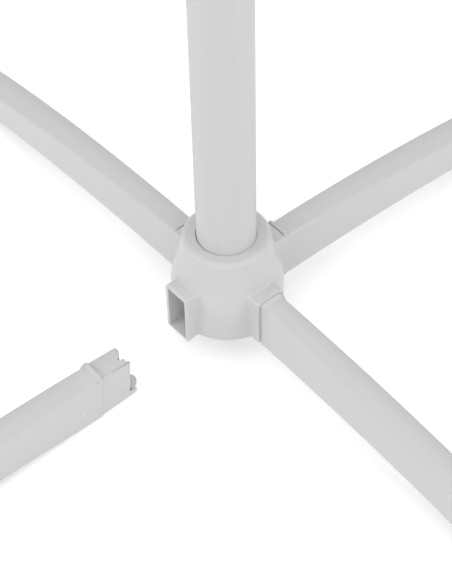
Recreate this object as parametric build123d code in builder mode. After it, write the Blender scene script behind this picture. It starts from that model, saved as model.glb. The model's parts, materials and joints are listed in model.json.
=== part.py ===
# Free-standing rotary clothesline with four plug-in legs.
# Millimetres, +Z up, floor at Z = 0, mast axis on the Z axis.
from build123d import *
from math import atan, atan2, cos, degrees, hypot, radians, sin, tan
import os

os.makedirs("parts", exist_ok=True)

# ---- Driving dimensions -------------------------------------------------
# fits
slide_gap = 0.05        # radial running fit of a turning or sliding round part
pin_gap = 0.05          # radial fit of a pin in its eye
side_gap = 0.4          # side play of an arm, strut or lever in its fork
tenon_gap = 0.4         # play of a leg tenon in its socket, all round
shoulder_gap = 0.15     # leg shoulder to the socket's end face
slot_gap = 0.8          # play of a snap tab in its slot
overlap = 1.0           # how far one feature is sunk into the next of its own piece

# lower mast tube and hub
mast_od = 50.0
mast_wall = 1.8
mast_top_z = 800.0
hub_rim_r = 48.0
hub_rim_z = 30.0
hub_top_z = 111.5
hub_lip_r = 34.0
hub_wall = 3.0
hub_shoulder_h = 26.0   # straight lower part of the bell
bell_mid_h = 25.0       # a point half-way up the bell, above the shoulder
bell_mid_in = 4.8       # and how far it lies inside the rim
hub_neck_h = 5.0        # rolled edge at the top of the bell
hub_neck_out = 3.5
hub_web_t = 2.5
lip_gap = 0.9           # open ring seen round the mast at the hub lip
seat_z = 79.0
seat_t = 4.0
boss_r = 12.5
boss_clear = 3.3        # room for the retaining washer under the boss
journal_r = 9.0
bush_lift = 8.0
bush_len = 22.5
chamfer_len = 0.6

# leg sockets
socket_reach = 55.6
socket_width = 26.8
socket_wall = 2.7
socket_h = 47.5
socket_inner = 25.6     # distance of the socket's inner wall from the axis
socket_round = 2.2
socket_cove_r = 2.5     # cove where a socket box runs into the bell
cove_zone = 5.0         # its edges lie this far inside the hub rim
cove_side = 15.0        # and this many degrees off the hub's own axes

# legs
leg_reach = 445.0
leg_root_w = 22.4
leg_toe_w = 32.5
leg_wall = 2.8
leg_edge_r = 3.0
leg_root_top = 74.0
leg_mid_top = 58.8
leg_toe_top = 23.0
leg_root_bottom = 27.6
leg_mid_bottom = 23.3
leg_web_count = 4       # stiffening webs under each leg
leg_web_t = 2.2
leg_web_lift = 8.0
leg_lip_len = 5.5
leg_lip_top = 1.8
leg_lip_r = 3.0
tenon_len = 29.6
tenon_wall = 2.4
tenon_foot_len = 7.2    # low foot at the end of the tenon
tenon_foot_h = 5.0
tenon_lift = 3.0        # underside of the tenon's end above the hub rim
notch_r = 2.2
tab_len = 13.0          # snap tongue that reaches past the tenon
tab_t = 2.5
tab_root_low = 5.5      # heights above the hub rim
tab_root_high = 28.5
tab_tip_low = 7.0
tab_tip_high = 19.0
pad_h = 4.0
pad_len = 38.0
pad_inset = 3.0
pad_end = 2.0
pad_corner_r = 8.0
stud_r = 3.0
stud_len = 4.5
leg_pull_out = 92.9     # how far the loose leg lies from its socket

# mast foot and its fastening
plug_len = 30.0
plug_wall = 3.0
plug_floor = 8.0
foot_end_lift = 3.0     # lower end of the journal above the hub rim
screw_r = 3.0
screw_head_r = 6.0
screw_head_h = 3.0
screw_len = 22.0
hex_r = 2.3
hex_depth = 2.5
washer_t = 2.0
washer_lift = 1.0

# upper mast
upper_od = 42.0
upper_wall = 1.6
upper_foot_z = 430.0
crown_z = 1500.0        # strut pivots
guide_len = 40.0
collar_wall = 6.0
collar_grip = 44.0
bush_h = 28.0           # liner between the two tubes
bush_wall_in = 0.5      # how far the liner stays inside the lower tube's outside
clamp_boss_r = 11.0
clamp_boss_len = 18.0
insert_r = 6.0
clamp_screw_r = 4.0
clamp_screw_len = 35.0
clamp_tip_gap = 0.3
knob_r = 17.0
knob_lobes = 5
knob_lobe_r = 6.5
knob_t = 14.0
knob_lift = 21.0        # knob's inner face from the lower tube
knob_neck_r = 9.0

# crown and runner
crown_r = 30.0
crown_below = 20.0      # crown below and above the strut pivots
crown_above = 22.0
crown_cap_rise = 16.0
runner_out = 29.0
runner_gap = 0.1
runner_below = 34.0     # runner below and above the arm pivots
runner_above = 24.0
fork_wall = 3.2
latch_below = 14.0      # latch pivot below the arm pivots
latch_w = 11.0
latch_r = 38.0
latch_pin_r = 2.0
latch_lug_t = 3.0
latch_azimuth = 315

# folding arms and struts
pivot_r = 52.0
arm_len = 830.0
arm_w = 18.0
arm_h = 26.0
arm_wall = 1.5
arm_corner_r = 3.0
arm_tilt = 18.0         # degrees above level when open
link_len = 300.0        # pivot to pivot, on arm and on strut
bracket_rise = 22.0     # strut pivot above the arm's centre line
strut_t = 7.0
strut_h = 16.0
strut_rim = 1.6
strut_web = 2.0
cheek_t = 2.7
pin_r = 3.0
pivot_head_r = 5.5

# line
line_d = 3.5
line_first = 400.0
line_pitch = 100.0
line_end_clear = 20.0   # arm left outside the last round
line_hole_gap = 0.8

# ---- Values worked out from the driving ones ----------------------------
mast_r = mast_od / 2
mast_ir = mast_r - mast_wall
upper_r = upper_od / 2
bore_r = mast_r + lip_gap
socket_top = hub_rim_z + socket_h
socket_in_w = socket_width - 2 * socket_wall
socket_roof = socket_top - socket_wall
plug_top_z = seat_z + 3.0
link_rise = degrees(atan(bracket_rise / link_len))
open_link = radians(arm_tilt + link_rise)
runner_z = crown_z - 2 * link_len * sin(open_link)
arm_side = arm_w / 2
fork_in = arm_side + side_gap
strut_in = arm_side + cheek_t + 2 * side_gap
strut_out = strut_in + strut_t
tilt = radians(arm_tilt)
line_rounds = 1 + int((pivot_r + (arm_len - line_end_clear) * cos(tilt) - line_first) / line_pitch)

leg_root = socket_reach + shoulder_gap
tenon_end = leg_root - tenon_len
tenon_foot_end = tenon_end - tenon_foot_len
tenon_top = socket_roof - tenon_gap
tenon_bottom = hub_rim_z + tenon_lift
tenon_w = socket_in_w - 2 * tenon_gap
pad_inner = leg_reach - pad_end - pad_len
pad_mid = pad_inner + pad_len / 2
# the loose leg rests on its root's lower edge and on its pad's inner edge
loose_tilt = degrees(atan(leg_root_bottom / (pad_inner - leg_root)))

leg_azimuths = {"back_right": 45, "back_left": 135, "front_left": 225, "front_right": 315}
loose_leg = "front_left"
arm_azimuths = {"right": 0, "back": 90, "left": 180, "front": 270}
quarter_turns = (90, 180, 270)


def loose_pose(azimuth):
    """Place of the leg that has been pulled out and laid on the floor."""
    turn = Location((pad_inner, 0, 0), (0, -loose_tilt, 0)) * Location((-pad_inner, 0, 0))
    return Rot(0, 0, azimuth) * Location((leg_pull_out, 0, 0)) * turn


def arm_frame(azimuth):
    """Frame on one arm: X out along the arm, Y across it, Z off its upper side."""
    return Rot(0, 0, azimuth) * Location((pivot_r, 0, runner_z), (0, -arm_tilt, 0))


def strut_frame(azimuth):
    """Frame on one strut: X from the crown pivot to the arm pivot."""
    return Rot(0, 0, azimuth) * Location((pivot_r, 0, crown_z), (0, degrees(open_link), 0))


# ---- Hub ----------------------------------------------------------------
with BuildPart() as base_hub:
    # outer bell
    shoulder_z = hub_rim_z + hub_shoulder_h
    neck_z = hub_top_z - hub_neck_h
    neck_r = hub_lip_r + hub_neck_out
    with BuildSketch(Plane.XZ):
        with BuildLine():
            Polyline((0, hub_rim_z), (hub_rim_r, hub_rim_z), (hub_rim_r, shoulder_z))
            Spline((hub_rim_r, shoulder_z), (hub_rim_r - bell_mid_in, shoulder_z + bell_mid_h),
                   (neck_r, neck_z), tangents=[(0, 1), (-0.22, 1)])
            ThreePointArc((neck_r, neck_z), (hub_lip_r + 2.0, hub_top_z - 1.4),
                          (hub_lip_r - 1.5, hub_top_z))
            Polyline((hub_lip_r - 1.5, hub_top_z), (0, hub_top_z), (0, hub_rim_z))
        make_face()
    revolve(axis=Axis.Z)
    # hollow below the seat, and the ring-shaped hollow round the bearing tube
    with BuildSketch(Plane.XZ):
        with BuildLine():
            tube_r = bore_r + hub_wall
            in_r = hub_rim_r - hub_wall
            in_neck_r = neck_r - hub_wall
            in_top = hub_top_z - 2.5 * hub_wall
            Polyline((0, hub_rim_z), (in_r, hub_rim_z), (in_r, shoulder_z))
            Spline((in_r, shoulder_z), (in_r - bell_mid_in, shoulder_z + bell_mid_h - 1),
                   (in_neck_r, in_top), tangents=[(0, 1), (-0.22, 1)])
            Polyline((in_neck_r, in_top), (tube_r, in_top), (tube_r, seat_z - seat_t),
                     (0, seat_z - seat_t), (0, hub_rim_z))
        make_face()
    revolve(axis=Axis.Z, mode=Mode.SUBTRACT)
    # centre boss and the four webs that tie it to the wall
    with BuildSketch(Plane.XY.offset(hub_rim_z + boss_clear)):
        Circle(boss_r)
    extrude(amount=seat_z - seat_t - hub_rim_z - boss_clear + overlap)
    web_low = hub_rim_z + 12
    web_in = boss_r - overlap
    web_out = hub_rim_r - bell_mid_in - hub_wall / 2
    with BuildSketch(Plane.XY.offset(web_low)):
        with PolarLocations((web_in + web_out) / 2, 4):
            Rectangle(web_out - web_in, hub_web_t)
    extrude(amount=seat_z - seat_t - web_low + overlap)
    # socket boxes
    box_in = socket_inner - socket_wall
    with BuildSketch(Plane.XY.offset(hub_rim_z)):
        with PolarLocations((socket_reach + box_in) / 2, 4, start_angle=45):
            Rectangle(socket_reach - box_in, socket_width)
    extrude(amount=socket_h)
    fillet(base_hub.edges().filter_by(GeomType.LINE).filter_by_position(
        Axis.Z, socket_top - 0.1, socket_top + 0.1), radius=socket_round)
    # coves round the sockets, where their sides and roofs meet the bell
    cove_edges = []
    for edge in base_hub.edges():
        middle = edge.center()
        reach = hypot(middle.X, middle.Y)
        azimuth = degrees(atan2(middle.Y, middle.X)) % 90
        on_bell = hub_rim_r - cove_zone < reach < hub_rim_r
        on_socket = cove_side < azimuth < 90 - cove_side
        top_edge = edge.geom_type == GeomType.LINE and middle.Z > hub_rim_z + socket_h / 2 + 6
        if on_bell and on_socket and middle.Z > hub_rim_z + 1 and not top_edge:
            if edge.geom_type != GeomType.CIRCLE:
                cove_edges.append(edge)
    fillet(cove_edges, radius=socket_cove_r)
    # socket openings
    mouth_len = socket_reach - socket_inner + overlap
    with BuildSketch(Plane.XY.offset(hub_rim_z)):
        with PolarLocations(socket_inner + mouth_len / 2, 4, start_angle=45):
            Rectangle(mouth_len, socket_in_w)
    extrude(amount=socket_roof - hub_rim_z, mode=Mode.SUBTRACT)
    # slots in the inner walls for the tenon's foot and its snap tongue
    slot_len = 2 * socket_wall
    with BuildSketch(Plane.XY.offset(hub_rim_z)):
        with PolarLocations(socket_inner - socket_wall / 2, 4, start_angle=45):
            Rectangle(slot_len, socket_in_w)
    extrude(amount=tenon_lift + tenon_foot_h + slot_gap, mode=Mode.SUBTRACT)
    with BuildSketch(Plane.XY.offset(hub_rim_z)):
        with PolarLocations(socket_inner - socket_wall / 2, 4, start_angle=45):
            Rectangle(slot_len, tab_t + 2 * slot_gap)
    extrude(amount=tab_root_high + slot_gap, mode=Mode.SUBTRACT)
    # mast bore and journal bore
    with BuildSketch(Plane.XY.offset(seat_z)):
        Circle(bore_r)
    extrude(amount=hub_top_z - seat_z + overlap, mode=Mode.SUBTRACT)
    with BuildSketch(Plane.XY.offset(hub_rim_z)):
        Circle(journal_r + slide_gap)
    extrude(amount=hub_top_z, mode=Mode.SUBTRACT)
base_hub.part.label = "base_hub"
export_step(base_hub.part, "parts/base_hub.step")

with BuildPart() as hub_bush:
    with BuildSketch(Plane.XY.offset(seat_z + bush_lift)):
        Circle(bore_r - slide_gap)
        Circle(mast_r + slide_gap, mode=Mode.SUBTRACT)
    extrude(amount=bush_len)
    chamfer(hub_bush.edges().filter_by(GeomType.CIRCLE).group_by(Axis.Z)[-1], length=chamfer_len / 2)
hub_bush.part.label = "hub_bush"
export_step(hub_bush.part, "parts/hub_bush.step")

# ---- Leg (one shape, four places) ---------------------------------------
leg_mid = (leg_root + leg_reach) / 2 - 4
nose_r = (leg_toe_top - pad_h) / 2
toe = leg_reach - nose_r
taper_end = toe - 6
half_root = leg_root_w / 2
half_toe = leg_toe_w / 2
stud_pitch = pad_len * 0.55

with BuildPart() as leg_pattern:
    # arched side view
    with BuildSketch(Plane.XZ.offset(-half_toe)):
        with BuildLine():
            Spline((leg_root, leg_root_top), (leg_mid, leg_mid_top), (toe, leg_toe_top),
                   tangents=[(1, -0.03), (1, -0.26)])
            ThreePointArc((toe, leg_toe_top), (leg_reach, leg_toe_top - nose_r), (toe, pad_h))
            Line((toe, pad_h), (pad_inner, pad_h))
            Spline((pad_inner, pad_h), (leg_mid, leg_mid_bottom), (leg_root, leg_root_bottom),
                   tangents=[(-1, 0.2), (-1, -0.02)])
            Line((leg_root, leg_root_bottom), (leg_root, leg_root_top))
        make_face()
    extrude(amount=leg_toe_w)
    # plan view: a slow taper and a round nose
    with BuildSketch(Plane.XY):
        with BuildLine():
            Polyline((taper_end, -half_toe), (leg_root, -half_root), (leg_root, half_root),
                     (taper_end, half_toe))
            ThreePointArc((taper_end, half_toe), (leg_reach, 0), (taper_end, -half_toe))
        make_face()
    extrude(amount=leg_root_top + overlap, mode=Mode.INTERSECT)
    fillet(leg_pattern.faces().sort_by(Axis.Z)[-1].edges().filter_by(
        lambda e: abs(e.center().Y) > half_root / 2), radius=leg_edge_r)
    leg_form = leg_pattern.part
    # hollow underside
    hollow_root = leg_root + leg_wall + overlap
    hollow_toe_z = leg_toe_top + 4.0
    with BuildSketch(Plane.XZ, mode=Mode.PRIVATE) as hollow_side:
        with BuildLine():
            Spline((hollow_root, leg_root_top - leg_wall), (leg_mid, leg_mid_top - leg_wall - 0.4),
                   (pad_inner, hollow_toe_z), tangents=[(1, -0.03), (1, -0.24)])
            Polyline((pad_inner, hollow_toe_z), (pad_inner - leg_wall, 0), (hollow_root, 0),
                     (hollow_root, leg_root_top - leg_wall))
        make_face()
    with BuildSketch(Plane.XY, mode=Mode.PRIVATE) as hollow_plan:
        with BuildLine():
            Polyline((taper_end, leg_wall - half_toe), (leg_root, leg_wall - half_root),
                     (leg_root, half_root - leg_wall), (taper_end, half_toe - leg_wall), close=True)
        make_face()
    hollow_block = extrude(hollow_side.sketch, amount=half_toe, both=True, mode=Mode.PRIVATE)
    plan_block = extrude(hollow_plan.sketch, amount=leg_root_top, mode=Mode.PRIVATE)
    add(hollow_block & plan_block, mode=Mode.SUBTRACT)
    # cross webs inside the hollow
    web_pitch = (pad_inner - leg_root) / (leg_web_count + 1)
    with BuildSketch(Plane.XY.offset(leg_mid_bottom + leg_web_lift), mode=Mode.PRIVATE) as web_plan:
        with Locations(((leg_root + pad_inner) / 2, 0)):
            with GridLocations(web_pitch, 1, leg_web_count, 1):
                Rectangle(leg_web_t, leg_root_w - leg_wall)
    for web_face in web_plan.sketch.faces():
        web_block = extrude(web_face, amount=leg_root_top, mode=Mode.PRIVATE)
        add(web_block & leg_form)
    # raised lip at the shoulder, its corners rounded
    with BuildSketch(Plane.XZ, mode=Mode.PRIVATE) as lip_side:
        with BuildLine():
            lip_low = leg_root_top - leg_edge_r
            lip_end = leg_root + leg_lip_len
            Polyline((leg_root, lip_low), (leg_root, socket_top), (leg_root + leg_lip_top, socket_top),
                     (lip_end, leg_root_top - 0.6), (lip_end, lip_low), close=True)
        make_face()
    with BuildSketch(Plane.YZ, mode=Mode.PRIVATE) as lip_front:
        with Locations((0, socket_top - half_root)):
            RectangleRounded(leg_root_w, leg_root_w, leg_lip_r)
    lip_block = extrude(lip_side.sketch, amount=half_root, both=True, mode=Mode.PRIVATE)
    lip_round = extrude(lip_front.sketch, amount=leg_reach, mode=Mode.PRIVATE)
    add(lip_block & lip_round)
    # tenon with a low foot, open below, and a notch in the end of its roof
    with BuildSketch(Plane.XZ):
        with BuildLine():
            foot_top = tenon_bottom + tenon_foot_h
            Polyline((leg_root + overlap, tenon_top), (tenon_end, tenon_top), (tenon_end, foot_top),
                     (tenon_foot_end, foot_top - 1.5), (tenon_foot_end, tenon_bottom),
                     (leg_root + overlap, leg_root_bottom), close=True)
        make_face()
    extrude(amount=tenon_w / 2, both=True)
    with BuildSketch(Plane.XZ):
        with Locations((tenon_end + tenon_wall, tenon_top - tenon_wall)):
            Rectangle(hollow_root - tenon_end - tenon_wall, tenon_top - leg_root_bottom,
                      align=(Align.MIN, Align.MAX))
    extrude(amount=tenon_w / 2 - tenon_wall, both=True, mode=Mode.SUBTRACT)
    with BuildSketch(Plane.XY.offset(tenon_top - 2 * tenon_wall)):
        with Locations((tenon_end, 0)):
            Circle(notch_r)
    extrude(amount=3 * tenon_wall, mode=Mode.SUBTRACT)
    # snap tongue
    with BuildSketch(Plane.XZ.offset(-tab_t / 2), mode=Mode.PRIVATE) as tab_face:
        with BuildLine():
            tab_r = (tab_tip_high - tab_tip_low) / 2
            tab_tip = tenon_end - tab_len
            tab_root = tenon_end + overlap
            tip_high = (tab_tip + tab_r, hub_rim_z + tab_tip_high)
            tip_low = (tab_tip + tab_r, hub_rim_z + tab_tip_low)
            Polyline(tip_low, (tab_root, hub_rim_z + tab_root_low), (tab_root, hub_rim_z + tab_root_high),
                     tip_high)
            ThreePointArc(tip_high, (tab_tip, hub_rim_z + tab_tip_low + tab_r), tip_low)
        make_face()
    extrude(tab_face.sketch, amount=tab_t)
    # sockets for the pad's two studs
    with BuildSketch(Plane.XY.offset(pad_h)):
        with Locations((pad_mid, 0)):
            with GridLocations(stud_pitch, 1, 2, 1):
                Circle(stud_r)
    extrude(amount=stud_len + 0.5, mode=Mode.SUBTRACT)

with BuildPart() as pad_pattern:
    with BuildSketch(Plane.XY):
        with Locations((pad_mid, 0)):
            RectangleRounded(pad_len, leg_toe_w - 2 * pad_inset, pad_corner_r)
    extrude(amount=pad_h)
    chamfer(pad_pattern.edges().group_by(Axis.Z)[0], length=chamfer_len)
    with BuildSketch(Plane.XY.offset(pad_h)):
        with Locations((pad_mid, 0)):
            with GridLocations(stud_pitch, 1, 2, 1):
                Circle(stud_r - pin_gap)
    extrude(amount=stud_len)

for place, azimuth in leg_azimuths.items():
    pose = loose_pose(azimuth) if place == loose_leg else Rot(0, 0, azimuth)
    with BuildPart() as leg:
        add(pose * leg_pattern.part)
    leg.part.label = f"leg_{place}"
    export_step(leg.part, f"parts/leg_{place}.step")
    with BuildPart() as pad:
        add(pose * pad_pattern.part)
    pad.part.label = f"pad_{place}"
    export_step(pad.part, f"parts/pad_{place}.step")

# ---- Lower mast ---------------------------------------------------------
with BuildPart() as mast_lower:
    with BuildSketch(Plane.XY.offset(plug_top_z)):
        Circle(mast_r)
        Circle(mast_ir, mode=Mode.SUBTRACT)
    extrude(amount=mast_top_z - plug_top_z)
mast_lower.part.label = "mast_lower"
export_step(mast_lower.part, "parts/mast_lower.step")

with BuildPart() as mast_foot:
    with BuildSketch(Plane.XZ):
        with BuildLine():
            plug_r = mast_ir - slide_gap
            end_z = hub_rim_z + foot_end_lift
            Polyline((0, end_z), (journal_r - 1, end_z), (journal_r, end_z + 1), (journal_r, seat_z),
                     (mast_r - 0.2, seat_z), (mast_r - 0.2, plug_top_z), (plug_r, plug_top_z),
                     (plug_r, plug_top_z + plug_len), (plug_r - plug_wall, plug_top_z + plug_len + 2),
                     (plug_r - plug_wall, plug_top_z + plug_floor), (0, plug_top_z + plug_floor),
                     close=True)
        make_face()
    revolve(axis=Axis.Z)
    with BuildSketch(Plane.XY.offset(hub_rim_z)):
        Circle(screw_r)
    extrude(amount=washer_lift + screw_len + 2, mode=Mode.SUBTRACT)
mast_foot.part.label = "mast_foot"
export_step(mast_foot.part, "parts/mast_foot.step")

with BuildPart() as retaining_washer:
    with BuildSketch(Plane.XY.offset(hub_rim_z + washer_lift)):
        Circle(boss_r)
        Circle(screw_r + pin_gap, mode=Mode.SUBTRACT)
    extrude(amount=washer_t)
retaining_washer.part.label = "retaining_washer"
export_step(retaining_washer.part, "parts/retaining_washer.step")

with BuildPart() as retaining_screw:
    head_z = hub_rim_z - screw_head_h
    with BuildSketch(Plane.XY.offset(head_z)):
        Circle(screw_head_r)
    extrude(amount=screw_head_h + washer_lift)
    fillet(retaining_screw.edges().group_by(Axis.Z)[0], radius=screw_head_h / 2)
    with BuildSketch(Plane.XY.offset(hub_rim_z + washer_lift)):
        Circle(screw_r - pin_gap)
    extrude(amount=screw_len)
    with BuildSketch(Plane.XY.offset(head_z)):
        RegularPolygon(hex_r, 6)
    extrude(amount=hex_depth, mode=Mode.SUBTRACT)
retaining_screw.part.label = "retaining_screw"
export_step(retaining_screw.part, "parts/retaining_screw.step")

# ---- Height clamp at the top of the lower mast --------------------------
collar_top_z = mast_top_z + bush_h + 5
clamp_z = mast_top_z + bush_h / 2
clamp_plane = Plane(origin=(0, 0, clamp_z), x_dir=(1, 0, 0), z_dir=(0, -1, 0))

with BuildPart() as clamp_collar:
    with BuildSketch(Plane.XZ):
        with BuildLine():
            c_in = mast_r + slide_gap
            c_out = c_in + collar_wall
            c_low = mast_top_z - collar_grip
            Polyline((c_in, c_low), (c_out - 2.5, c_low), (c_out - 1, c_low + 6),
                     (c_out, mast_top_z - 8), (c_out, collar_top_z - 4), (c_out - 4, collar_top_z),
                     (upper_r + 1, collar_top_z), (upper_r + 1, mast_top_z + bush_h),
                     (mast_r - bush_wall_in, mast_top_z + bush_h), (mast_r - bush_wall_in, mast_top_z),
                     (c_in, mast_top_z), close=True)
        make_face()
    revolve(axis=Axis.Z)
    # screw boss, with two side gussets
    with BuildSketch(clamp_plane.offset(mast_r + overlap)):
        Circle(clamp_boss_r)
        with Locations((0, 3 - clamp_boss_r)):
            Rectangle(clamp_boss_r + 1, clamp_boss_r + 3)
    extrude(amount=clamp_boss_len)
    with BuildSketch(clamp_plane.offset(mast_r - 2)):
        Circle(insert_r)
    extrude(amount=clamp_boss_len + 6, mode=Mode.SUBTRACT)
clamp_collar.part.label = "clamp_collar"
export_step(clamp_collar.part, "parts/clamp_collar.step")

with BuildPart() as slide_bush:
    with BuildSketch(Plane.XY.offset(mast_top_z)):
        Circle(mast_r - bush_wall_in - slide_gap)
        Circle(upper_r + slide_gap, mode=Mode.SUBTRACT)
    extrude(amount=bush_h)
    with BuildSketch(clamp_plane.offset(upper_r - 4)):
        Circle(clamp_screw_r + side_gap)
    extrude(amount=mast_r - upper_r + 8, mode=Mode.SUBTRACT)
slide_bush.part.label = "slide_bush"
export_step(slide_bush.part, "parts/slide_bush.step")

with BuildPart() as clamp_insert:
    with BuildSketch(clamp_plane.offset(mast_r + side_gap)):
        Circle(insert_r - pin_gap)
        Circle(clamp_screw_r + pin_gap, mode=Mode.SUBTRACT)
    extrude(amount=clamp_boss_len - side_gap)
clamp_insert.part.label = "clamp_insert"
export_step(clamp_insert.part, "parts/clamp_insert.step")

with BuildPart() as clamp_screw:
    with BuildSketch(clamp_plane.offset(upper_r + clamp_tip_gap)):
        Circle(clamp_screw_r)
    extrude(amount=clamp_screw_len)
    chamfer(clamp_screw.edges().group_by(Axis.Y)[-1], length=chamfer_len)
clamp_screw.part.label = "clamp_screw"
export_step(clamp_screw.part, "parts/clamp_screw.step")

with BuildPart() as clamp_knob:
    with BuildSketch(clamp_plane.offset(mast_r + knob_lift)):
        Circle(knob_r)
        with PolarLocations(knob_r - 2, knob_lobes):
            Circle(knob_lobe_r)
        with PolarLocations(knob_r + 4.5, knob_lobes, start_angle=180 / knob_lobes):
            Circle(knob_lobe_r + 0.5, mode=Mode.SUBTRACT)
    extrude(amount=knob_t)
    fillet(clamp_knob.edges().group_by(Axis.Y)[0], radius=2)
    neck_start = mast_r + overlap + clamp_boss_len + 0.2
    with BuildSketch(clamp_plane.offset(neck_start)):
        Circle(knob_neck_r)
    extrude(amount=mast_r + knob_lift + 2 * overlap - neck_start)
    with BuildSketch(clamp_plane.offset(neck_start - overlap)):
        Circle(clamp_screw_r + pin_gap)
    extrude(amount=upper_r + clamp_tip_gap + clamp_screw_len + 0.2 - neck_start + overlap,
            mode=Mode.SUBTRACT)
clamp_knob.part.label = "clamp_knob"
export_step(clamp_knob.part, "parts/clamp_knob.step")

# ---- Upper mast ---------------------------------------------------------
upper_top_z = crown_z + crown_above
with BuildPart() as mast_upper:
    with BuildSketch(Plane.XY.offset(upper_foot_z)):
        Circle(upper_r)
        Circle(upper_r - upper_wall, mode=Mode.SUBTRACT)
    extrude(amount=upper_top_z - upper_foot_z)
mast_upper.part.label = "mast_upper"
export_step(mast_upper.part, "parts/mast_upper.step")

with BuildPart() as mast_guide:
    with BuildSketch(Plane.XZ):
        with BuildLine():
            g_out = mast_ir - slide_gap
            g_in = upper_r + slide_gap
            Polyline((0, upper_foot_z - 4), (g_out - 1, upper_foot_z - 4), (g_out, upper_foot_z - 3),
                     (g_out, upper_foot_z + guide_len), (g_in, upper_foot_z + guide_len),
                     (g_in, upper_foot_z), (0, upper_foot_z), close=True)
        make_face()
    revolve(axis=Axis.Z)
mast_guide.part.label = "mast_guide"
export_step(mast_guide.part, "parts/mast_guide.step")

# ---- Crown --------------------------------------------------------------
crown_low = crown_z - crown_below
with BuildPart() as crown:
    with BuildSketch(Plane.XY.offset(crown_low)):
        Circle(crown_r)
    extrude(amount=upper_top_z - crown_low)
    fillet(crown.edges().group_by(Axis.Z)[0], radius=3)
    # one fork for each strut
    with BuildSketch(Plane.XZ.offset(-strut_out - side_gap - cheek_t)) as fork_face:
        with BuildLine():
            Polyline((crown_r - 9, crown_z - 15), (pivot_r - 2, crown_z - 9.5))
            ThreePointArc((pivot_r - 2, crown_z - 9.5), (pivot_r + 9, crown_z),
                          (pivot_r - 2, crown_z + 9.5))
            Polyline((pivot_r - 2, crown_z + 9.5), (crown_r - 9, crown_z + 16), (crown_r - 9, crown_z - 15))
        make_face()
    crown_cheek = extrude(amount=strut_out - strut_in + 2 * side_gap + 2 * cheek_t)
    add([Rot(0, 0, a) * crown_cheek for a in quarter_turns])
    with BuildSketch(Plane.XZ.offset(-strut_out - side_gap)):
        with Locations((crown_r + 20.5, crown_z)):
            Rectangle(40, 60)
    crown_slot = extrude(amount=strut_out - strut_in + 2 * side_gap, mode=Mode.SUBTRACT)
    add([Rot(0, 0, a) * crown_slot for a in quarter_turns], mode=Mode.SUBTRACT)
    with BuildSketch(Plane.XZ.offset(-strut_out - 10)):
        with Locations((pivot_r, crown_z)):
            Circle(pin_r)
    crown_bore = extrude(amount=24, mode=Mode.SUBTRACT)
    add([Rot(0, 0, a) * crown_bore for a in quarter_turns], mode=Mode.SUBTRACT)
    with BuildSketch(Plane.XY.offset(crown_low)):
        Circle(upper_r + slide_gap)
    extrude(amount=upper_top_z - crown_low, mode=Mode.SUBTRACT)
crown.part.label = "crown"
export_step(crown.part, "parts/crown.step")

with BuildPart() as crown_pins:
    pin_out = strut_out + side_gap + cheek_t
    with BuildSketch(Plane.XZ.offset(-pin_out - 1.5)):
        with Locations((pivot_r, crown_z)):
            Circle(pin_r - pin_gap)
    extrude(amount=pin_out + 1.5 - strut_in + side_gap + cheek_t)
    with BuildSketch(Plane.XZ.offset(-pin_out - 2)):
        with Locations((pivot_r, crown_z)):
            Circle(pivot_head_r)
    extrude(amount=2)
    fillet(crown_pins.edges().group_by(Axis.Y)[-1], radius=1)
    first_pin = crown_pins.part
    add([Rot(0, 0, a) * first_pin for a in quarter_turns])
crown_pins.part.label = "crown_pins"
export_step(crown_pins.part, "parts/crown_pins.step")

with BuildPart() as crown_cap:
    with BuildSketch(Plane.XZ):
        with BuildLine():
            Polyline((0, upper_top_z), (crown_r, upper_top_z), (crown_r, upper_top_z + 4))
            Spline((crown_r, upper_top_z + 4), (0, upper_top_z + crown_cap_rise),
                   tangents=[(-0.3, 1), (-1, 0)])
            Line((0, upper_top_z + crown_cap_rise), (0, upper_top_z))
        make_face()
    revolve(axis=Axis.Z)
    with BuildSketch(Plane.XY.offset(upper_top_z - 12)):
        Circle(upper_r - upper_wall - slide_gap)
        Circle(upper_r - upper_wall - 3, mode=Mode.SUBTRACT)
    extrude(amount=12)
crown_cap.part.label = "crown_cap"
export_step(crown_cap.part, "parts/crown_cap.step")

# ---- Runner -------------------------------------------------------------
runner_in = upper_r + runner_gap
runner_low = runner_z - runner_below
runner_top = runner_z + runner_above
latch_z = runner_z - latch_below
latch_rot = Rot(0, 0, latch_azimuth)

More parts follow.
